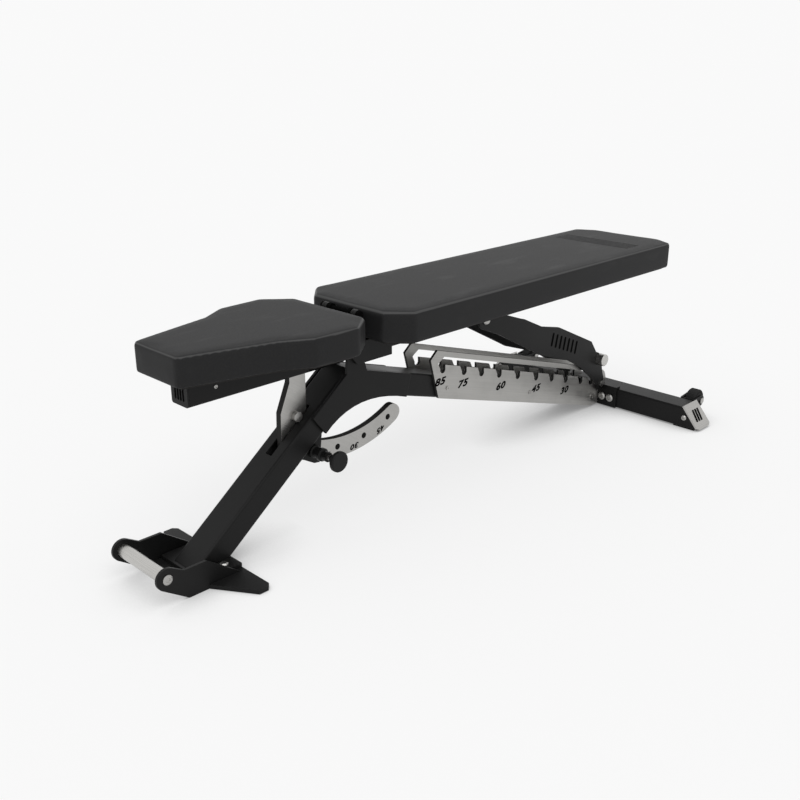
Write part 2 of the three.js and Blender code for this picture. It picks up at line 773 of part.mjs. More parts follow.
function sectorPlate() {
  const top = SEAT_TUBE_BOTTOM - GAP;
  const rearX = -367;
  const tip = -59.3;
  const rearAngle = -THREE.MathUtils.radToDeg(Math.acos((rearX - HINGE.x) / SECTOR.inner));
  const shape = new THREE.Shape();
  shape.moveTo(-405.5, top);
  shape.lineTo(-405.5, 307);
  shape.lineTo(-429.5, 250);
  shape.lineTo(-430.5, 222);
  shape.lineTo(...onSector(SECTOR.outer, -123));
  shape.absarc(HINGE.x, HINGE.z, SECTOR.outer, degrees(-123), degrees(tip - 2.5), false);
  shape.quadraticCurveTo(...onSector(SECTOR.outer - 3, tip + 1.5), ...onSector(SECTOR.holes + 2, tip + 1.5));
  shape.quadraticCurveTo(...onSector(SECTOR.inner, tip + 1), ...onSector(SECTOR.inner, tip - 3.5));
  shape.absarc(HINGE.x, HINGE.z, SECTOR.inner, degrees(tip - 3.5), degrees(rearAngle), true);
  shape.lineTo(rearX, top);
  shape.closePath();
  const plate = plateXZ(shape, -SECTOR.half, SECTOR.half, 16);
  const holes = [0, 15, 30, 45].map((angle) => {
    const [x, z] = onSector(SECTOR.holes, SECTOR_LOCK_ANGLE + angle);
    return barY(x, z, SECTOR.holeR, -10, 10, 16);
  });
  const restHole = barY(REST_PIN.x, REST_PIN.z, REST_PIN.r + GAP, -10, 10, 16);
  return mesh("sector_plate", cut(plate, ...holes, restHole), STAINLESS);
}

function sectorRestPin() {
  return mesh("sector_rest_pin", barY(REST_PIN.x, REST_PIN.z, REST_PIN.r, -16, 16, 18), STAINLESS);
}

// ---------------------------------------------------------------- seat lock

const [LOCK_X, LOCK_Z] = onSector(SECTOR.holes, SECTOR_LOCK_ANGLE);
const GUIDE_IN = SECTOR.half + 1.5;
const GUIDE_OUT = GUIDE_IN + PLATE;
const BARREL = { r: 11, collarR: 13.5, boreR: 6.4, out: 62 };
const PIN_R = 6;

function pinBracket() {
  const shape = new THREE.Shape();
  const along = (x) => [x, legBottomZ(x) - GAP / Math.cos(LEG_TILT)];
  shape.moveTo(...along(-396));
  shape.lineTo(LOCK_X - 27, LOCK_Z - 11);
  shape.lineTo(LOCK_X + 3, LOCK_Z - 28);
  shape.lineTo(LOCK_X + 17, LOCK_Z - 30);
  shape.lineTo(LOCK_X + 22, LOCK_Z + 8);
  shape.lineTo(...along(-334));
  shape.closePath();
  const bore = barY(LOCK_X, LOCK_Z, BARREL.boreR, -GUIDE_OUT - 1, 0, 16);
  return mesh("pin_bracket", cut(plateXZ(shape, -GUIDE_OUT, -GUIDE_IN), bore), BLACK_PAINT);
}

function pinBarrel() {
  const start = -GUIDE_OUT - GAP;
  const profile = [
    [BARREL.boreR, start],
    [BARREL.collarR, start],
    [BARREL.collarR, start - 8],
    [BARREL.r, start - 10],
    [BARREL.r, start - 22],
    [BARREL.collarR, start - 24],
    [BARREL.collarR, start - 31],
    [BARREL.r - 1, start - 33],
    [BARREL.r - 1, -BARREL.out],
    [BARREL.boreR, -BARREL.out],
    [BARREL.boreR, start],
  ];
  const made = mesh("pin_barrel", turned(profile.reverse(), 18), BLACK_PAINT);
  made.position.set(LOCK_X, 0, LOCK_Z);
  return made;
}

const KNOB = { r: 21, inner: 72, outer: 96 };

function popPin() {
  const tip = -SECTOR.half - 0.8;
  const made = mesh("pop_pin", barY(0, 0, PIN_R, -KNOB.inner - 8, tip, 18), STAINLESS);
  made.position.set(LOCK_X, 0, LOCK_Z);
  return made;
}

function popPinKnob() {
  const socketEnd = KNOB.inner + 8 + GAP;
  const profile = [
    [0, -KNOB.outer],
    [KNOB.r - 2, -KNOB.outer],
    [KNOB.r, -KNOB.outer + 2],
    [KNOB.r, -KNOB.outer + 8],
    [KNOB.r - 3, -KNOB.outer + 12],
    [9, -KNOB.outer + 16],
    [9, -KNOB.inner],
    [PIN_R + GAP, -KNOB.inner],
    [PIN_R + GAP, -socketEnd],
    [0, -socketEnd],
  ];
  const made = mesh("pop_pin_knob", turned(profile, 20), PLASTIC);
  made.position.set(LOCK_X, 0, LOCK_Z);
  return made;
}

// ---------------------------------------------------------------- backrest carrier

const BACK_TUBE = { x0: -215, x1: 640, width: 60, height: 38, wall: 2 };
const BACK_TUBE_BOTTOM = BACK_BOARD_BOTTOM - BACK_TUBE.height;

function backTube() {
  const { x0, x1, width, height, wall } = BACK_TUBE;
  const tube = boxTube(width, height, x1 - x0, wall, TUBE_R - 1);
  tube.translate(x0, 0, BACK_BOARD_BOTTOM - height / 2);
  const bore = barY(STRUT_PIVOT.x, STRUT_PIVOT.z, STRUT_BOLT_R + GAP, -TUBE_W, TUBE_W, 18);
  return mesh("back_tube", cut(tube, bore), BLACK_PAINT);
}

function backHingeBracket() {
  const low = 320.5;
  const rear = -173;
  const shape = new THREE.Shape();
  shape.moveTo(-HINGE_NECK.front, 340);
  shape.lineTo(-268, low);
  shape.lineTo(rear, low);
  shape.lineTo(rear, BACK_BOARD_BOTTOM - 1);
  shape.lineTo(-HINGE_NECK.rear + 3, BACK_BOARD_BOTTOM - 1);
  shape.lineTo(-HINGE_NECK.rear, 380);
  shape.absarc(HINGE.x, HINGE.z, EAR_R, 0, Math.PI, false);
  shape.closePath();
  const left = plateXZ(shape, BRACKET_IN, BRACKET_OUT, 10);
  const right = plateXZ(shape, -BRACKET_OUT, -BRACKET_IN, 10);
  const webTop = BACK_TUBE_BOTTOM - GAP;
  const web = block(BACK_TUBE.x0, rear, -BRACKET_OUT, BRACKET_OUT, webTop - PLATE, webTop);
  const bore = barY(HINGE.x, HINGE.z, BORE_R, -TUBE_W, TUBE_W);
  return mesh("back_hinge_bracket", cut(join(left, right, web), bore), BLACK_PAINT);
}

function strutPivotBracket() {
  const inner = BACK_TUBE.width / 2 + GAP;
  const outer = inner + PLATE;
  const { x, z } = STRUT_PIVOT;
  const shape = new THREE.Shape();
  shape.moveTo(x - 34, BACK_BOARD_BOTTOM - 2);
  shape.lineTo(x - 12, z - 8);
  shape.absarc(x, z, 14, degrees(215), degrees(325), false);
  shape.lineTo(x + 34, BACK_BOARD_BOTTOM - 2);
  shape.closePath();
  const left = plateXZ(shape, inner, outer);
  const right = plateXZ(shape, -outer, -inner);
  const webTop = BACK_TUBE_BOTTOM - GAP;
  const web = block(x - 8, x + 8, -outer, outer, webTop - 4, webTop);
  const bore = barY(x, z, STRUT_BOLT_R + GAP, -TUBE_W, TUBE_W, 18);
  return mesh("strut_pivot_bracket", cut(join(left, right, web), bore), BLACK_PAINT);
}

function strutPivotBolt() {
  const end = STRUT_OUT + GAP;
  const spacer = [BACK_TUBE.width / 2 + PLATE + 2 * GAP, STRUT_IN - GAP];
  const half = [
    [STRUT_BOLT_R, spacer[0]],
    [11, spacer[0]],
    [11, spacer[1]],
    [STRUT_BOLT_R, spacer[1]],
    [STRUT_BOLT_R, end],
    [10, end],
    [10, end + 2],
    [8, end + 5],
    [0, end + 5],
  ];
  const mirrored = half.map(([r, y]) => [r, -y]).reverse();
  const made = mesh("strut_pivot_bolt", turned([...mirrored, ...half], 16), STAINLESS);
  made.position.set(STRUT_PIVOT.x, 0, STRUT_PIVOT.z);
  return made;
}

// ---------------------------------------------------------------- strut

const STRUT_BAR = { x: 580, z: 138.5, tieR: 9, gripR: 15.5, end: 76 };

function strutShape() {
  const shape = new THREE.Shape();
  const { x, z } = STRUT_PIVOT;
  shape.absarc(x, z, 22, degrees(62), degrees(235), false);
  shape.lineTo(163.5, 291);
  shape.lineTo(300, 219);
  shape.lineTo(322, 207);
  shape.lineTo(444, 165);
  shape.quadraticCurveTo(508, 131, 550, 94);
  shape.quadraticCurveTo(570, 77, PIN_REST.x - 19, PIN_REST.z);
  shape.absarc(PIN_REST.x, PIN_REST.z, 19, degrees(180), degrees(303), false);
  shape.lineTo(PIN_REST.x + 10.4, 76);
  shape.lineTo(601, 103);
  shape.lineTo(STRUT_BAR.x + 14, STRUT_BAR.z - 6);
  shape.absarc(STRUT_BAR.x, STRUT_BAR.z, 15, degrees(-24), degrees(60), false);
  shape.lineTo(566, 161);
  shape.lineTo(541, 194);
  shape.lineTo(394.5, 261.5);
  shape.lineTo(322, 278);
  shape.lineTo(255, 309);
  shape.closePath();
  return shape;
}

function strutPlate(name, side) {
  const [y0, y1] = between(side, STRUT_IN, STRUT_OUT);
  const pivot = barY(STRUT_PIVOT.x, STRUT_PIVOT.z, STRUT_BOLT_R + GAP, y0 - 1, y1 + 1, 20);
  const tie = barY(STRUT_BAR.x, STRUT_BAR.z, STRUT_BAR.tieR + GAP, y0 - 1, y1 + 1, 20);
  const lock = barY(PIN_REST.x, PIN_REST.z, LOCK_PIN_R + GAP, y0 - 1, y1 + 1, 20);
  return mesh("strut_plate_" + name, cut(plateXZ(strutShape(), y0, y1, 8), pivot, tie, lock), BLACK_PAINT);
}

function strutHandleBar() {
  const { tieR, gripR, end } = STRUT_BAR;
  const start = STRUT_OUT + GAP;
  const profile = [
    [0, -end],
    [gripR - 1, -end],
    [gripR, -end + 1],
    [gripR, -start],
    [tieR, -start],
    [tieR, start],
    [gripR, start],
    [gripR, end - 1],
    [gripR - 1, end],
    [0, end],
  ];
  const made = mesh("strut_handle_bar", turned(profile, 20), STAINLESS);
  made.position.set(STRUT_BAR.x, 0, STRUT_BAR.z);
  return made;
}

// The lock pin's ends stop short of the ladder plates, so that the strut can swing freely.
function lockPin(name, side) {
  const [y0, y1] = between(side, GUSSET_OUT + 0.8, STRUT_OUT + 3);
  return mesh("lock_pin_" + name, barY(PIN_REST.x, PIN_REST.z, LOCK_PIN_R, y0, y1, 20), STAINLESS);
}

// ---------------------------------------------------------------- assembly

function bothSides(make) {
  return SIDES.map(([name, side]) => make(name, side));
}

function group(name, ...meshes) {
  const made = new THREE.Group();
  made.name = name + "_group";
  made.add(...meshes);
  return made;
}

const frame = group(
  "frame",
  footPlate(),
  ...bothSides(footCheek),
  footHandle(),
  ...bothSides(handleScrew),
  legFlange(),
  ...bothSides(flangeBolt),
  legTube(),
  beamTube(),
  ...bothSides(gusset),
  hingeAxle(),
  hingeNut(),
  ...bothSides(ladderPlate),
  ...ladderBoltPlaces().map(ladderBolt),
  rearSaddle(),
  ...bothSides((name, side) => saddleBolt("inner_" + name, side, 55)),
  ...bothSides((name, side) => saddleBolt("outer_" + name, side, 79)),
  crossTube(),
  ...bothSides(endPlate),
  ...bothSides(endPlateBolt),
  ...bothSides(rubberFoot),
  ...bothSides(wheelBracket),
  ...bothSides(wheelAxle),
  pinBracket(),
  pinBarrel(),
);
const seat = group(
  "seat",
  pad("seat_pad", SEAT_OUTLINE, SEAT_PAD_BOTTOM),
  board("seat_board", SEAT_OUTLINE, SEAT_BOARD_BOTTOM),
  seatTube(),
  seatTubeCap(),
  seatHingeBracket(),
  sectorPlate(),
  sectorRestPin(),
);
const lock = group("lock", popPin(), popPinKnob());
const backrest = group(
  "backrest",
  pad("back_pad", BACK_OUTLINE, BACK_PAD_BOTTOM),
  board("back_board", BACK_OUTLINE, BACK_BOARD_BOTTOM),
  backTube(),
  backHingeBracket(),
  strutPivotBracket(),
  strutPivotBolt(),
);
const strut = group("strut", ...bothSides(strutPlate), strutHandleBar(), ...bothSides(lockPin));
const wheels = group("wheels", ...bothSides(wheel));

const bench = new THREE.Group();
bench.add(frame, seat, lock, backrest, strut, wheels);

export default bench;
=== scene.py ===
"""Looks of the adjustable weight bench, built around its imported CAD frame.

Metres. +X runs from the seat's nose to the head end, +Y to the left, +Z up, and the floor is at z = 0.
"""

import math

import bmesh
import bpy
from mathutils import Matrix, Vector, noise
from mathutils.bvhtree import BVHTree


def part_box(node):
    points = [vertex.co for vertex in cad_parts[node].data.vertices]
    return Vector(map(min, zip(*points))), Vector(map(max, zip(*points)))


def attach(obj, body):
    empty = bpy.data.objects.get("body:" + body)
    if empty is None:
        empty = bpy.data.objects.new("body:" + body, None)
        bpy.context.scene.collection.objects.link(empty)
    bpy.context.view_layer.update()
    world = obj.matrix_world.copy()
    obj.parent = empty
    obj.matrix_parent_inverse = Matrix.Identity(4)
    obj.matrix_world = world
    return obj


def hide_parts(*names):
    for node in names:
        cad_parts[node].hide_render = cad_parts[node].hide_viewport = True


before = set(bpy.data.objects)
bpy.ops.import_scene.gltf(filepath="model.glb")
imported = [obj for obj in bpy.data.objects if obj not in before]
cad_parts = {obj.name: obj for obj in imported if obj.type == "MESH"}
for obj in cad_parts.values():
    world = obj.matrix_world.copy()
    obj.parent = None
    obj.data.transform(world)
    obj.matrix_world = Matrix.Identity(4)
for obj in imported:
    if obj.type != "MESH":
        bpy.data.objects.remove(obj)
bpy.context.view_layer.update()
scene = bpy.context.scene
scene.view_settings.view_transform = "Standard"

MM = 0.001

# ---------------------------------------------------------------- camera, floor and light

LENS = 42.505  # mm on a 36 mm sensor
CAMERA_PLACE = (-1.4555, -1.3366, 0.900)
CAMERA_PITCH = 69.536  # degrees from straight down
CAMERA_HEADING = -45.371

FLOOR_RADIUS = 60.0
PALE = (0.95, 0.95, 0.95, 1)  # floor and background
FLOOR_GLOW = 0.74  # share of the floor, as seen directly, that is plain pale colour; the rest takes light
CONTACT_REACH = 0.13  # how far from the floor a part still darkens it with painted contact shadow
PAINTED_SHADOW_TONE = 0.30  # the floor's painted shadow tone where a part touches it
AMBIENT = 0.72  # what the world adds to diffuse surfaces
KEY = 0.30  # what the soft key light adds to a surface that faces it
KEY_FROM = (-0.55, -0.75, 2.2)
KEY_ANGLE = 55  # degrees across


def make_camera():
    data = bpy.data.cameras.new("camera")
    data.sensor_width = 36
    data.lens = LENS
    data.clip_end = 200
    camera = bpy.data.objects.new("camera", data)
    camera.location = CAMERA_PLACE
    camera.rotation_euler = (math.radians(CAMERA_PITCH), 0, math.radians(CAMERA_HEADING))
    scene.collection.objects.link(camera)
    scene.camera = camera


def make_key():
    """One broad, far lamp, so that it lights the floor evenly and throws soft shadows."""
    data = bpy.data.lights.new("key", "SUN")
    data.energy = KEY * math.pi
    data.angle = math.radians(KEY_ANGLE)
    lamp = bpy.data.objects.new("key", data)
    lamp.location = KEY_FROM
    lamp.rotation_euler = Vector(KEY_FROM).to_track_quat("Z", "Y").to_euler()
    scene.collection.objects.link(lamp)


def seen_directly(tree):
    """1 for camera, glossy and transmission rays, which see the pale background, and 0 for the others."""
    path = tree.nodes.new("ShaderNodeLightPath")
    first = tree.nodes.new("ShaderNodeMath")
    first.operation = "MAXIMUM"
    tree.links.new(path.outputs["Is Camera Ray"], first.inputs[0])
    tree.links.new(path.outputs["Is Glossy Ray"], first.inputs[1])
    second = tree.nodes.new("ShaderNodeMath")
    second.operation = "MAXIMUM"
    tree.links.new(first.outputs[0], second.inputs[0])
    tree.links.new(path.outputs["Is Transmission Ray"], second.inputs[1])
    return second.outputs[0]


def make_world():
    world = bpy.data.worlds.new("studio")
    world.use_nodes = True
    scene.world = world
    tree = world.node_tree
    tree.nodes.clear()
    lit = tree.nodes.new("ShaderNodeBackground")
    lit.inputs["Color"].default_value = (1, 1, 1, 1)
    lit.inputs["Strength"].default_value = AMBIENT
    shown = tree.nodes.new("ShaderNodeBackground")
    shown.inputs["Color"].default_value = PALE
    shown.inputs["Strength"].default_value = 1
    choose = tree.nodes.new("ShaderNodeMixShader")
    tree.links.new(seen_directly(tree), choose.inputs["Fac"])
    tree.links.new(lit.outputs[0], choose.inputs[1])
    tree.links.new(shown.outputs[0], choose.inputs[2])
    out = tree.nodes.new("ShaderNodeOutputWorld")
    tree.links.new(choose.outputs[0], out.inputs["Surface"])


def make_floor():
    mesh = bpy.data.meshes.new("floor")
    bm = bmesh.new()
    bmesh.ops.create_circle(bm, cap_ends=True, segments=64, radius=FLOOR_RADIUS)
    bm.to_mesh(mesh)
    bm.free()
    floor = bpy.data.objects.new("floor", mesh)
    scene.collection.objects.link(floor)
    material = bpy.data.materials.new("studio_floor")
    material.use_nodes = True
    tree = material.node_tree
    matte = tree.nodes["Principled BSDF"]
    # Painted contact shadow: the floor's colour darkens where parts are near, from ambient occlusion, not
    # from the lamps.
    contact = tree.nodes.new("ShaderNodeAmbientOcclusion")
    contact.samples = 8
    contact.inputs["Distance"].default_value = CONTACT_REACH
    painted_contact_shadow = tree.nodes.new("ShaderNodeMapRange")
    painted_contact_shadow.inputs["From Min"].default_value = 0.1
    painted_contact_shadow.inputs["From Max"].default_value = 0.9
    painted_contact_shadow.inputs["To Min"].default_value = PAINTED_SHADOW_TONE
    painted_contact_shadow.inputs["To Max"].default_value = PALE[0]
    tree.links.new(contact.outputs["AO"], painted_contact_shadow.inputs["Value"])
    tree.links.new(painted_contact_shadow.outputs["Result"], matte.inputs["Base Color"])
    matte.inputs["Roughness"].default_value = 1
    matte.inputs["Specular IOR Level"].default_value = 0
    glow = tree.nodes.new("ShaderNodeEmission")
    tree.links.new(painted_contact_shadow.outputs["Result"], glow.inputs["Color"])
    share = tree.nodes.new("ShaderNodeMath")
    share.operation = "MULTIPLY"
    share.inputs[1].default_value = FLOOR_GLOW
    tree.links.new(seen_directly(tree), share.inputs[0])
    choose = tree.nodes.new("ShaderNodeMixShader")
    tree.links.new(share.outputs[0], choose.inputs["Fac"])
    tree.links.new(matte.outputs[0], choose.inputs[1])
    tree.links.new(glow.outputs[0], choose.inputs[2])
    tree.links.new(choose.outputs[0], tree.nodes["Material Output"].inputs["Surface"])
    mesh.materials.append(material)


# ---------------------------------------------------------------- materials


class Surface:
    """A procedural material: a Principled shader and short calls that build what feeds it."""

    def __init__(self, name, **sockets):
        self.material = bpy.data.materials.new(name)
        self.material.use_nodes = True
        self.tree = self.material.node_tree
        self.shader = self.tree.nodes["Principled BSDF"]
        self.place = self.node("ShaderNodeTexCoord").outputs["Object"]
        for socket, value in sockets.items():
            self.shader.inputs[socket.replace("_", " ")].default_value = value

    def node(self, kind, **settings):
        made = self.tree.nodes.new(kind)
        for key, value in settings.items():
            setattr(made, key, value)
        return made

    def link(self, source, target):
        self.tree.links.new(source, target)

    def stretched(self, size, turn=(0, 0, 0)):
        """Object coordinates counted in steps of the given size in metres, turned by angles in degrees."""
        made = self.node("ShaderNodeMapping", vector_type="TEXTURE")
        made.inputs["Scale"].default_value = size
        made.inputs["Rotation"].default_value = [math.radians(a) for a in turn]
        self.link(self.place, made.inputs["Vector"])
        return made.outputs["Vector"]

    def noise(self, size, detail=2, roughness=0.5, turn=(0, 0, 0)):
        """Noise whose lumps are about size metres across. size is one number, or three."""
        sizes = (size,) * 3 if isinstance(size, (int, float)) else size
        made = self.node("ShaderNodeTexNoise")
        made.inputs["Scale"].default_value = 1
        made.inputs["Detail"].default_value = detail
        made.inputs["Roughness"].default_value = roughness
        self.link(self.stretched(sizes, turn), made.inputs["Vector"])
        return made.outputs["Fac"]

    def cells(self, size, feature="F1"):
        """Distance pattern of cells about size metres across."""
        made = self.node("ShaderNodeTexVoronoi", feature=feature)
        made.inputs["Scale"].default_value = 1
        self.link(self.stretched((size,) * 3), made.inputs["Vector"])
        return made.outputs["Distance"]

    def math(self, operation, a, b=0.0):
        made = self.node("ShaderNodeMath", operation=operation)
        for socket, value in zip(made.inputs, (a, b)):
            if isinstance(value, (int, float)):
                socket.default_value = value
            else:
                self.link(value, socket)
        return made.outputs[0]

    def remap(self, value, low, high, to_low, to_high):
        made = self.node("ShaderNodeMapRange")
        self.link(value, made.inputs["Value"])
        for key, number in zip(("From Min", "From Max", "To Min", "To Max"), (low, high, to_low, to_high)):
            made.inputs[key].default_value = number
        return made.outputs["Result"]

    def mix(self, share, a, b):
        """Colour a where share is 0 and b where it is 1: each a grey, three numbers or an output."""
        made = self.node("ShaderNodeMix", data_type="RGBA")
        self.link(share, made.inputs["Factor"])
        for key, value in ((6, a), (7, b)):
            if isinstance(value, (int, float)):
                value = (value,) * 3
            if isinstance(value, tuple):
                made.inputs[key].default_value = (*value, 1)
            else:
                self.link(value, made.inputs[key])
        return made.outputs[2]

    def edges(self, radius):
        """(normal rounded over edges, 0 on flats to 1 on edges) for edges of that radius in metres."""
        bevel = self.node("ShaderNodeBevel", samples=4)
        bevel.inputs["Radius"].default_value = radius
        plain = self.node("ShaderNodeNewGeometry").outputs["Normal"]
        dot = self.node("ShaderNodeVectorMath", operation="DOT_PRODUCT")
        self.link(bevel.outputs["Normal"], dot.inputs[0])
        self.link(plain, dot.inputs[1])
        return bevel.outputs["Normal"], self.remap(dot.outputs["Value"], 0.99, 0.85, 0, 1)

    def facing(self, axis):
        """How far the surface's own normal points along an axis of the object, from -1 to 1."""
        made = self.node("ShaderNodeVectorMath", operation="DOT_PRODUCT")
        self.link(self.node("ShaderNodeTexCoord").outputs["Normal"], made.inputs[0])
        made.inputs[1].default_value = axis
        return made.outputs["Value"]

    def bump(self, height, strength, depth, normal=None):
        made = self.node("ShaderNodeBump")
        made.inputs["Strength"].default_value = strength
        made.inputs["Distance"].default_value = depth
        self.link(height, made.inputs["Height"])
        if normal is not None:
            self.link(normal, made.inputs["Normal"])
        return made.outputs["Normal"]

    def finish(self, color, roughness, normal):
        self.link(color, self.shader.inputs["Base Color"])
        self.link(roughness, self.shader.inputs["Roughness"])
        self.link(normal, self.shader.inputs["Normal"])
        return self.material


def vinyl():
    """Matte upholstery vinyl: pebble grain, slow tone changes, faint rubs, and a painted highlight along its
    top edges.
    """
    s = Surface("vinyl_grain", Specular_IOR_Level=0.16)
    cloudy = s.noise(0.22, 3)
    mottle = s.noise(3.2 * MM, 3, 0.6)
    rubs = s.remap(s.noise((0.10, 0.03, 0.05), 5, 0.6), 0.56, 0.72, 0, 1)
    pebbles = s.cells(1.1 * MM, "SMOOTH_F1")
    tone = s.mix(cloudy, (0.0110, 0.0110, 0.0115), (0.0135, 0.0135, 0.0140))
    tone = s.mix(s.remap(mottle, 0.4, 0.7, 0, 0.5), tone, 0.020)
    tone = s.mix(s.math("MULTIPLY", rubs, 0.15), tone, 0.024)
    tone = s.mix(s.remap(pebbles, 0.25, 0.75, 0, 0.25), tone, 0.006)
    # Painted highlight: a paler, glossier band on the rounded top edges, where the normal points half up,
    # stands in for the light those edges catch.
    upward = s.facing((0, 0, 1))
    painted_edge_highlight = s.math("MULTIPLY", s.remap(upward, 0.40, 0.62, 0, 1), s.remap(upward, 0.95, 0.80, 0, 1))
    tone = s.mix(s.math("MULTIPLY", painted_edge_highlight, 0.7), tone, 0.075)
    rough = s.math("SUBTRACT", s.remap(mottle, 0.3, 0.7, 0.50, 0.58), s.math("MULTIPLY", rubs, 0.04))
    rough = s.math("SUBTRACT", rough, s.math("MULTIPLY", painted_edge_highlight, 0.08))
    folds = s.bump(s.noise(0.035, 2), 0.15, 0.6 * MM)
    return s.finish(tone, rough, s.bump(pebbles, 0.30, 0.25 * MM, folds))


def powder_coat(name, tone=0.0085, rough=0.40, gloss=0.14):
    """Satin black powder coat: orange peel, speckle, a little dust on top and bright rubbed edges."""
    s = Surface(name, Specular_IOR_Level=gloss)
    rounded, edge = s.edges(0.9 * MM)
    peel = s.noise(1.6 * MM, 3)
    patches = s.noise(0.12, 4)
    speckle = s.remap(s.noise(0.7 * MM, 1), 0.62, 0.72, 0, 1)
    rubbed = s.math("MULTIPLY", edge, s.remap(s.noise(7 * MM, 4), 0.45, 0.65, 0.1, 0.8))
    dust = s.math("MULTIPLY", s.remap(s.facing((0, 0, 1)), 0.3, 1.0, 0, 0.35), patches)
    color = s.mix(patches, tone * 0.8, tone * 1.25)
    color = s.mix(s.math("MULTIPLY", speckle, 0.25), color, tone * 2.4)
    color = s.mix(dust, color, tone * 2.2)
    color = s.mix(s.math("MULTIPLY", rubbed, 0.5), color, tone * 5)
    roughness = s.remap(patches, 0.3, 0.7, rough - 0.04, rough + 0.06)
    roughness = s.math("SUBTRACT", roughness, s.math("MULTIPLY", rubbed, 0.1))
    return s.finish(color, roughness, s.bump(peel, 0.22, 0.25 * MM, rounded))


def warm(tone):
    """The faintly warm grey of stainless steel."""
    return (tone, tone * 0.985, tone * 0.95)


def brushed(name, tilt=0.0, turn_z=0.0, tone=0.42, rough=0.30, anisotropic=0.0):
    """What feeds brushed stainless steel: fine lines along the part, slow smudges, brighter edges."""
    s = Surface(name, Metallic=1.0, Anisotropic=anisotropic)
    if anisotropic:
        along = s.node("ShaderNodeVectorTransform", vector_type="VECTOR")
        along.convert_from, along.convert_to = "OBJECT", "WORLD"
        angle = math.radians(tilt)
        along.inputs[0].default_value = (math.cos(angle), 0, -math.sin(angle))
        s.link(along.outputs[0], s.shader.inputs["Tangent"])
    rounded, edge = s.edges(0.5 * MM)
    turn = (0, tilt, turn_z)
    lines = s.noise((0.09, 0.5 * MM, 0.5 * MM), 3, 0.6, turn)
    broad = s.noise((0.35, 4 * MM, 4 * MM), 2, 0.5, turn)
    smudge = s.noise(0.05, 4)
    color = s.mix(s.remap(lines, 0.3, 0.7, 0, 1), warm(tone * 0.88), warm(tone * 1.10))
    color = s.mix(s.remap(broad, 0.35, 0.65, 0, 0.25), color, warm(tone * 0.85))
    color = s.mix(s.remap(smudge, 0.5, 0.7, 0, 0.18), color, warm(tone * 0.68))
    color = s.mix(s.math("MULTIPLY", edge, 0.5), color, warm(tone * 1.4))
    roughness = s.remap(lines, 0.3, 0.7, rough - 0.06, rough + 0.06)
    roughness = s.math("ADD", roughness, s.remap(smudge, 0.4, 0.7, 0, 0.08))
    return s, color, roughness, s.bump(lines, 0.18, 0.08 * MM, rounded)


def steel(name, **kind):
    s, color, roughness, normal = brushed(name, **kind)
    return s.finish(color, roughness, normal)


def cut_plate(name, **kind):
    """Brushed steel on the faces that look along Y, and dull black on the cut edges between them, a painted
    dark reflection of the surroundings.
    """
    s, color, roughness, normal = brushed(name, **kind)
    # Painted dark reflection: on the cut edges the steel turns into flat, rougher black without shine.
    s.shader.inputs["Specular IOR Level"].default_value = 0.0
    side = s.math("ABSOLUTE", s.facing((0, 1, 0)))
    on_edge = s.remap(side, 0.6, 0.4, 0, 1)
    color = s.mix(s.math("MULTIPLY", on_edge, 0.95), color, 0.02)
    roughness = s.math("ADD", roughness, s.math("MULTIPLY", on_edge, 0.2))
    s.link(s.math("SUBTRACT", 1.0, on_edge), s.shader.inputs["Metallic"])
    return s.finish(color, roughness, normal)


def rubber():
    s = Surface("rubber_matte", Specular_IOR_Level=0.18)
    rounded, edge = s.edges(0.8 * MM)
    grit = s.noise(0.9 * MM, 4, 0.6)
    dusty = s.noise(0.02, 4)
    color = s.mix(dusty, 0.012, 0.022)
    color = s.mix(s.math("MULTIPLY", edge, s.remap(dusty, 0.4, 0.6, 0, 0.5)), color, 0.045)
    return s.finish(color, s.remap(dusty, 0.3, 0.7, 0.70, 0.85), s.bump(grit, 0.35, 0.2 * MM, rounded))


def moulded_plastic():
    s = Surface("plastic_moulded", Specular_IOR_Level=0.10)
    rounded, edge = s.edges(0.7 * MM)
    spark = s.cells(0.6 * MM)
    slow = s.noise(0.02, 3)
    color = s.mix(slow, 0.011, 0.017)
    color = s.mix(s.math("MULTIPLY", edge, 0.3), color, 0.035)
    return s.finish(color, s.remap(slow, 0.3, 0.7, 0.36, 0.46), s.bump(spark, 0.15, 0.1 * MM, rounded))


def plywood():
    """Black-stained plywood: long grain on the faces and thin plies along the edges."""
    s = Surface("plywood_stained", Specular_IOR_Level=0.25)
    rounded, edge = s.edges(0.5 * MM)
    grain = s.noise((0.12, 2.5 * MM, 2.5 * MM), 4, 0.6)
    plies = s.node("ShaderNodeTexWave", wave_type="BANDS", bands_direction="Z")
    plies.inputs["Scale"].default_value = 170
    plies.inputs["Distortion"].default_value = 1.2
    s.link(s.place, plies.inputs["Vector"])
    upright = s.math("ABSOLUTE", s.facing((0, 0, 1)))
    on_edge = s.remap(upright, 0.6, 0.3, 0, 1)
    color = s.mix(s.remap(grain, 0.35, 0.65, 0, 1), (0.014, 0.0135, 0.013), (0.026, 0.025, 0.024))
    banded = s.mix(plies.outputs["Fac"], (0.010, 0.0095, 0.009), (0.022, 0.020, 0.018))
    color = s.mix(on_edge, color, banded)
    return s.finish(color, s.remap(grain, 0.3, 0.7, 0.62, 0.75), s.bump(grain, 0.3, 0.2 * MM, rounded))


def ink():
    """Filled engraving: flat black with a little wear."""
    s = Surface("engraving_black", Specular_IOR_Level=0.0)
    worn = s.noise(1.5 * MM, 4, 0.65)
    color = s.mix(s.remap(worn, 0.6, 0.8, 0, 1), 0.004, 0.02)
    return s.finish(color, s.remap(worn, 0.3, 0.7, 0.45, 0.7), s.bump(worn, 0.2, 0.1 * MM))


LADDER_TILT = 16.566  # degrees, falling towards the head end

VINYL = vinyl()
PAINT = powder_coat("powder_coat_black")
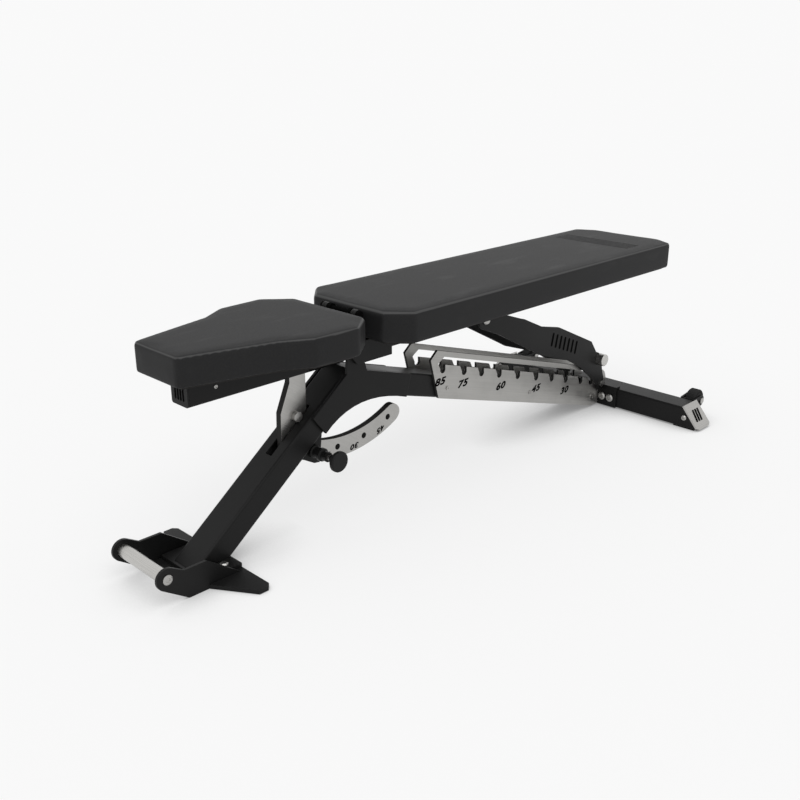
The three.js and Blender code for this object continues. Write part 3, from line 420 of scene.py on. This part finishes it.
# Black parts made darker and glossless than the powder coat: painted shade for the hinge parts in the gap
# between the pads.
GAP_SHADED_BLACK = powder_coat("black_painted_gap_shade", tone=0.004, rough=0.6, gloss=0.0)
STEEL = steel("stainless_fasteners")
LADDER_STEEL = cut_plate("stainless_ladder", tilt=LADDER_TILT, rough=0.36, anisotropic=0.75)
SECTOR_STEEL = cut_plate("stainless_sector", tilt=35)
END_STEEL = steel("stainless_end_plates", tilt=0, tone=0.45)
HANDLE_STEEL = steel("stainless_handles", turn_z=90, tone=0.54, rough=0.26)
RUBBER = rubber()
PLASTIC = moulded_plastic()
BOARD = plywood()
INK = ink()

SLOT_FINISH = {
    "black_paint": PAINT,
    "stainless": STEEL,
    "vinyl": VINYL,
    "board": BOARD,
    "rubber": RUBBER,
    "plastic": PLASTIC,
}
NODE_FINISH = {
    "ladder_plate_left": LADDER_STEEL,
    "ladder_plate_right": LADDER_STEEL,
    "sector_plate": SECTOR_STEEL,
    "end_plate_left": END_STEEL,
    "end_plate_right": END_STEEL,
    "foot_handle": HANDLE_STEEL,
    "strut_handle_bar": HANDLE_STEEL,
    # The hinge parts take the darker black, painted shade for the gap between the pads.
    "hinge_axle": GAP_SHADED_BLACK,
    "hinge_nut": GAP_SHADED_BLACK,
    "seat_hinge_bracket": GAP_SHADED_BLACK,
}


def finish_cad_nodes():
    for name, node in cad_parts.items():
        finish = NODE_FINISH.get(name) or SLOT_FINISH[node.material_slots[0].material.name]
        for material_slot in node.material_slots:
            material_slot.material = finish


# ---------------------------------------------------------------- pads

# Half outlines in mm: x, half the width there.
SEAT_OUTLINE = [(-682.5, 67), (-507.5, 111), (-451.5, 143), (-352, 147.5), (-294.5, 102)]
BACK_OUTLINE = [(-251.5, 99), (-207, 146), (732.5, 146), (760, 98)]
PAD_CORNER_R = 11
PAD_EDGE_R = 5  # of the top edges
PAD_HINGE_EDGE_R = 9  # rounder where the two pads meet
HINGE_X = -264.5
HINGE_REACH = 45  # how far from the hinge the edges are rounder
HEM_R = 0.8  # of the lower edges
START_INSET = 0.8  # the pad starts this much smaller, and the simulation fills it out
START_DROP = 1.2  # and this much lower
SIDE_CAP = 0.8  # most that a side may swell
TOP_CAP = 2.0  # most that the top may swell
VOXEL = 4.0
PRESSURE = 4.0
FRAMES = 20
EVEN_PASSES = 8
WAVES = 9  # per metre, over the cover
WAVE_HEIGHT = 0.3
HELD_HEIGHT = 7  # the cover is stapled to the board up to here


def add_object(name, mesh, material, body, smooth=True):
    """A new piece of the bench, in place, riding on a body."""
    mesh.materials.clear()
    mesh.materials.append(material)
    for face in mesh.polygons:
        face.use_smooth = smooth
    piece = bpy.data.objects.new(name, mesh)
    scene.collection.objects.link(piece)
    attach(piece, body)
    return piece


def evaluated_mesh(piece):
    graph = bpy.context.evaluated_depsgraph_get()
    return bpy.data.meshes.new_from_object(piece.evaluated_get(graph))


def closed_outline(half):
    """The whole outline from (x, half width) points along one side."""
    return [Vector((x, -w)) for x, w in half] + [Vector((x, w)) for x, w in reversed(half)]


def inset_outline(outline, inset):
    """The outline moved inwards by inset on every side."""
    moved = []
    for k, point in enumerate(outline):
        before = (point - outline[k - 1]).normalized()
        after = (outline[(k + 1) % len(outline)] - point).normalized()
        a = Vector((-before.y, before.x))
        b = Vector((-after.y, after.x))
        moved.append(point + (a + b) * inset / (1 + a.dot(b)))
    return moved


def rounded_outline(outline, radius, steps=6):
    """The outline with an arc of that radius at each corner, steps + 1 points to a corner."""
    points = []
    for k, point in enumerate(outline):
        before = (point - outline[k - 1]).normalized()
        after = (outline[(k + 1) % len(outline)] - point).normalized()
        turn = math.atan2(before.x * after.y - before.y * after.x, before.dot(after))
        start = point - before * radius * math.tan(abs(turn) / 2)
        side = math.copysign(1, turn)
        centre = start + Vector((-before.y, before.x)) * radius * side
        arm = start - centre
        for step in range(steps + 1):
            angle = turn * step / steps
            x = arm.x * math.cos(angle) - arm.y * math.sin(angle)
            y = arm.x * math.sin(angle) + arm.y * math.cos(angle)
            points.append(centre + Vector((x, y)))
    return points


def loft(rings, name):
    """A closed mesh through rings of equal length, each a list of (x, y, z) in mm, capped at both ends."""
    bm = bmesh.new()
    layers = [[bm.verts.new(Vector(p) * MM) for p in ring] for ring in rings]
    for low, high in zip(layers, layers[1:]):
        for k in range(len(low)):
            n = (k + 1) % len(low)
            bm.faces.new((low[k], low[n], high[n], high[k]))
    bm.faces.new(list(reversed(layers[0])))
    bm.faces.new(layers[-1])
    bmesh.ops.recalc_face_normals(bm, faces=bm.faces)
    mesh = bpy.data.meshes.new(name)
    bm.to_mesh(mesh)
    bm.free()
    return mesh


def pad_ring(outline, inset, radius):
    return rounded_outline(inset_outline(outline, START_INSET + inset), radius)


def pad_start(name, half, bottom, top):
    """The pad before it is puffed up: a little smaller all round, with round top edges."""
    outline = closed_outline(half)
    rings = []
    for inset, height in ((HEM_R, bottom), (0, bottom + HEM_R)):
        rings.append([(p.x, p.y, height) for p in pad_ring(outline, inset, PAD_CORNER_R)])
    for step in range(6):
        side, rise = math.cos(math.radians(18 * step)), math.sin(math.radians(18 * step))
        pairs = []
        for radius in (PAD_EDGE_R, PAD_HINGE_EDGE_R):
            inset = radius * (1 - side)
            ring = pad_ring(outline, inset, PAD_CORNER_R - inset)
            pairs.append([Vector((p.x, p.y, top - radius * (1 - rise))) for p in ring])
        ring = []
        for firm, round_ in zip(*pairs):
            share = max(0, min(1, 2 - abs(firm.x - HINGE_X) / HINGE_REACH))
            ring.append(tuple(firm.lerp(round_, share)))
        rings.append(ring)
    return loft(rings, name)


def puff(piece, bottom):
    """Blows the cover out by a cloth simulation, holding its lower edge on the board."""
    start = [(v.co.copy(), v.normal.copy()) for v in piece.data.vertices]
    held = piece.vertex_groups.new(name="held")
    held.add([k for k, (co, _) in enumerate(start) if co.z < (bottom + HELD_HEIGHT) * MM], 1.0, "REPLACE")
    cloth = piece.modifiers.new("cover", "CLOTH")
    cloth.settings.vertex_group_mass = "held"
    cloth.settings.use_pressure = True
    cloth.settings.uniform_pressure_force = PRESSURE
    cloth.settings.effector_weights.gravity = 0
    for step in range(1, FRAMES + 1):
        scene.frame_set(step)
    mesh = evaluated_mesh(piece)
    swells = []
    for vertex, (co, normal) in zip(mesh.vertices, start):
        most = SIDE_CAP + (TOP_CAP - SIDE_CAP) * abs(normal.z)
        swells.append(max(0, min(most * MM, (vertex.co - co).dot(normal))))
    for vertex, (co, normal), swell in zip(mesh.vertices, start, evened(mesh, swells)):
        vertex.co = co + normal * swell
    piece.modifiers.clear()
    piece.vertex_groups.clear()
    piece.data = mesh
    scene.frame_set(1)


def evened(mesh, swells):
    """The swells averaged over their neighbours a few times, so the cover shows no lumps."""
    for _ in range(EVEN_PASSES):
        total = list(swells)
        count = [1] * len(swells)
        for edge in mesh.edges:
            a, b = edge.vertices
            total[a] += swells[b]
            total[b] += swells[a]
            count[a] += 1
            count[b] += 1
        swells = [t / n for t, n in zip(total, count)]
    return swells


def make_pad(name, node, body, half):
    low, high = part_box(node)
    bottom, top = low.z / MM, high.z / MM
    piece = bpy.data.objects.new(name, pad_start(name, half, bottom, top - START_DROP))
    scene.collection.objects.link(piece)
    remesh = piece.modifiers.new("even", "REMESH")
    remesh.mode = "VOXEL"
    remesh.voxel_size = VOXEL * MM
    piece.data = evaluated_mesh(piece)
    piece.modifiers.clear()
    puff(piece, bottom)
    for vertex in piece.data.vertices:
        vertex.co.z = max(vertex.co.z, bottom * MM)
        if vertex.co.z > (bottom + HELD_HEIGHT) * MM:
            vertex.co.z += noise.noise(vertex.co * WAVES) * WAVE_HEIGHT * MM
    smooth = piece.modifiers.new("smooth", "SUBSURF")
    smooth.levels = smooth.render_levels = 1
    piece.data = evaluated_mesh(piece)
    piece.modifiers.clear()
    piece.data.name = name
    piece.data.materials.clear()
    piece.data.materials.append(VINYL)
    for face in piece.data.polygons:
        face.use_smooth = True
    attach(piece, body)
    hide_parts(node)
    return piece


# ---------------------------------------------------------------- marks and small details

HINGE = Vector((-264.5, 0, 420.5))
NOTCH_FIRST = Vector((-12.5, 0, 247.5))
LABELS = {85: 1.3, 75: 80.0, 60: 221.6, 45: 367.3, 30: 494.6}  # degrees: place along the ladder
LADDER_FACE = 41.3
LABEL_DROP = 26.5
LABEL_SHIFT = -10
LABEL_SIZE = 22
LABEL_STRETCH = 1.4
LABEL_BOLD = 0.045  # how much each stroke is thickened, as a share of the letters' size
SECTOR_FACE = 7
SECTOR_LABEL_R = 293
SECTOR_LABEL_TURN = -5.4  # degrees from its hole
SECTOR_LABEL_SIZE = 15
SECTOR_LOCK_ANGLE = -110
END_TILT = math.radians(40)

SIDES = ((-1, "right"), (1, "left"))
SCREW_PROFILE = ((1, 0), (1, 0.2), (0.86, 0.34), (0.62, 0.4))  # (reach, rise), in shares of the radius
SCREW_SIDES = 24
SOCKET = 0.46  # reach of the socket's corners
SOCKET_FLOOR = 0.1
SEAT_SCREW = {"x": -581.7, "y": 24.9, "z": 349, "radius": 3.8}
STRUT_RIBS = {"count": 7, "x": 366, "pitch": 17, "y": 56}
CAP_RIB_PLACES = (-12, -4, 4, 12)
END_PLATE = Vector((649, 312.6, 33.05))  # middle of the left one
END_PLATE_PITCH = 11
PAD_RIBS = {"count": 5, "x": 591, "pitch": 12, "half": 105}


def on_ladder(along, up):
    tilt = math.radians(LADDER_TILT)
    x = NOTCH_FIRST.x + along * math.cos(tilt) + up * math.sin(tilt)
    z = NOTCH_FIRST.z - along * math.sin(tilt) + up * math.cos(tilt)
    return x, z


def lettering(text, size, place, across, upward, proud=0.15):
    """Mesh of a number, standing proud of the face that across and upward span, centred on place in mm."""
    curve = bpy.data.curves.new("number", "FONT")
    curve.body = text
    curve.size = size * MM
    curve.shear = 0.3
    curve.extrude = proud * MM
    curve.align_x = "CENTER"
    curve.align_y = "CENTER"
    curve.space_character = 1.1
    curve.offset = LABEL_BOLD * size * MM
    curve.resolution_u = 4
    holder = bpy.data.objects.new("number", curve)
    scene.collection.objects.link(holder)
    bpy.context.view_layer.update()
    mesh = evaluated_mesh(holder)
    bpy.data.objects.remove(holder)
    across, upward = Vector(across).normalized(), Vector(upward).normalized()
    turn = Matrix((across, upward, across.cross(upward))).transposed().to_4x4()
    mesh.transform(Matrix.Translation(Vector(place) * MM) @ turn @ Matrix.Diagonal((LABEL_STRETCH, 1, 1, 1)))
    return mesh


def joined(meshes, name):
    bm = bmesh.new()
    for mesh in meshes:
        bm.from_mesh(mesh)
        bpy.data.meshes.remove(mesh)
    bmesh.ops.remove_doubles(bm, verts=bm.verts, dist=1e-6)
    whole = bpy.data.meshes.new(name)
    bm.to_mesh(whole)
    bm.free()
    return whole


def ladder_numbers(side, name):
    meshes = []
    for angle, along in LABELS.items():
        x, z = on_ladder(along, 0)
        place = (x + LABEL_SHIFT, side * LADDER_FACE, z - LABEL_DROP)
        meshes.append(lettering(str(angle), LABEL_SIZE, place, (-side, 0, 0), (0, 0, 1)))
    add_object(name, joined(meshes, name), INK, "frame", smooth=False)


def sector_numbers(side, name):
    meshes = []
    for angle in (15, 30, 45):
        turn = math.radians(SECTOR_LOCK_ANGLE + angle + SECTOR_LABEL_TURN)
        out = Vector((math.cos(turn), 0, math.sin(turn)))
        place = HINGE + out * SECTOR_LABEL_R + Vector((0, side * SECTOR_FACE, 0))
        across = out.cross(Vector((0, side, 0)))
        meshes.append(lettering(str(angle), SECTOR_LABEL_SIZE, place, across, out))
    add_object(name, joined(meshes, name), INK, "seat", smooth=False)


def bar_mesh(start, end, width, height, facing, name="bar"):
    """A rounded raised bar from start to end in mm, standing height proud along facing."""
    start, end, facing = Vector(start), Vector(end), Vector(facing).normalized()
    along = (end - start).normalized()
    across = facing.cross(along)
    rings = []
    profile = ((-0.6, 0), (height * 0.5, 0), (height * 0.85, width * 0.08), (height, width * 0.22))
    for level, shrink in profile:
        radius = width / 2 - shrink
        ring = []
        for tip, centre, base in ((1, end, -90), (-1, start, 90)):
            for step in range(9):
                angle = math.radians(base + 180 * step / 8)
                offset = along * math.cos(angle) + across * math.sin(angle)
                ring.append(centre + offset * radius + facing * level)
        rings.append(ring)
    return loft(rings, name)


def strut_ribs(side, name):
    """A row of slanted bars where a plate of this kind is marked, bare of any word."""
    meshes = []
    for k in range(STRUT_RIBS["count"]):
        x = STRUT_RIBS["x"] + STRUT_RIBS["pitch"] * k
        low = Vector((x, side * STRUT_RIBS["y"], 229 - 0.41 * (x - 383) - 13))
        meshes.append(bar_mesh(low, low + Vector((6, 0, 26)), 7, 0.6, (0, side, 0)))
    add_object(name, joined(meshes, name), INK, "strut")


def button_screw(place, facing, radius, name):
    """A domed screw head with a hexagonal socket, standing on a face along facing."""
    place, facing = Vector(place), Vector(facing).normalized()
    side = facing.orthogonal().normalized()
    other = facing.cross(side)
    bm = bmesh.new()

    def ring(reach, rise):
        """Points round the screw's axis at reach(angle) from it, both in shares of the radius."""
        made = []
        for k in range(SCREW_SIDES):
            a = math.tau * k / SCREW_SIDES
            spot = place + (side * math.cos(a) + other * math.sin(a)) * radius * reach(a)
            made.append(bm.verts.new((spot + facing * radius * rise) * MM))
        return made

    def hexagon(a):
        return SOCKET * math.cos(math.pi / 6) / math.cos((a % (math.pi / 3)) - math.pi / 6)

    rings = [ring(lambda a, share=share: share, rise) for share, rise in SCREW_PROFILE]
    rings += [ring(hexagon, rise) for rise in (SCREW_PROFILE[-1][1], SOCKET_FLOOR)]
    for low, high in zip(rings, rings[1:]):
        for k in range(SCREW_SIDES):
            n = (k + 1) % SCREW_SIDES
            bm.faces.new((low[k], low[n], high[n], high[k]))
    bm.faces.new(list(reversed(rings[0])))
    bm.faces.new(rings[-1])
    bmesh.ops.recalc_face_normals(bm, faces=bm.faces)
    mesh = bpy.data.meshes.new(name)
    bm.to_mesh(mesh)
    bm.free()
    return mesh


def seat_tube_screws():
    for side, tag in SIDES:
        name = "seat_tube_screw_" + tag
        place = (SEAT_SCREW["x"], side * SEAT_SCREW["y"], SEAT_SCREW["z"])
        mesh = button_screw(place, (0, side, 0), SEAT_SCREW["radius"], name)
        add_object(name, mesh, STEEL, "seat")


def cap_ribs():
    meshes = [
        bar_mesh((-640, y, 335), (-640, y, 361), 5, 0.4, (-1, 0, 0)) for y in CAP_RIB_PLACES
    ]
    add_object("seat_tube_cap_ribs", joined(meshes, "seat_tube_cap_ribs"), INK, "seat")


def end_plate_ribs(side, name):
    """Three bars on the sloping end plate, where a badge would be."""
    down = Vector((0, side * math.sin(END_TILT), -math.cos(END_TILT)))
    out = Vector((0, side * math.cos(END_TILT), math.sin(END_TILT)))
    meshes = []
    for k in (-1, 0, 1):
        middle = Vector((END_PLATE.x + END_PLATE_PITCH * k, side * END_PLATE.y, END_PLATE.z))
        lean = Vector((3, 0, 0))
        meshes.append(bar_mesh(middle - down * 14 + lean, middle + down * 14 - lean, 5, 0.5, out))
    add_object(name, joined(meshes, name), INK, "frame")


def pad_ribs(pad):
    """Raised ribs across the head end of the back pad, laid on its surface."""
    surface = BVHTree.FromPolygons(
        [v.co for v in pad.data.vertices], [tuple(p.vertices) for p in pad.data.polygons]
    )
    meshes = []
    half = PAD_RIBS["half"]
    for k in range(PAD_RIBS["count"]):
        x = PAD_RIBS["x"] + PAD_RIBS["pitch"] * k
        hit = surface.ray_cast(Vector((x, 0, 500)) * MM, Vector((0, 0, -1)))[0]
        top = hit.z / MM - 0.2
        meshes.append(bar_mesh((x, -half, top), (x, half, top), 6, 1.0, (0, 0, 1)))
    add_object("back_pad_ribs", joined(meshes, "back_pad_ribs"), VINYL, "backrest")


make_camera()
make_world()
make_floor()
make_key()
finish_cad_nodes()
make_pad("seat_cushion", "seat_pad", "seat", SEAT_OUTLINE)
back_cushion = make_pad("back_cushion", "back_pad", "backrest", BACK_OUTLINE)
pad_ribs(back_cushion)
for stem, make_marks in (
    ("ladder_numbers", ladder_numbers),
    ("sector_numbers", sector_numbers),
    ("strut_ribs", strut_ribs),
):
    for side, tag in SIDES:
        make_marks(side, f"{stem}_{tag}")
cap_ribs()
seat_tube_screws()
for side, tag in SIDES:
    end_plate_ribs(side, f"end_plate_ribs_{tag}")
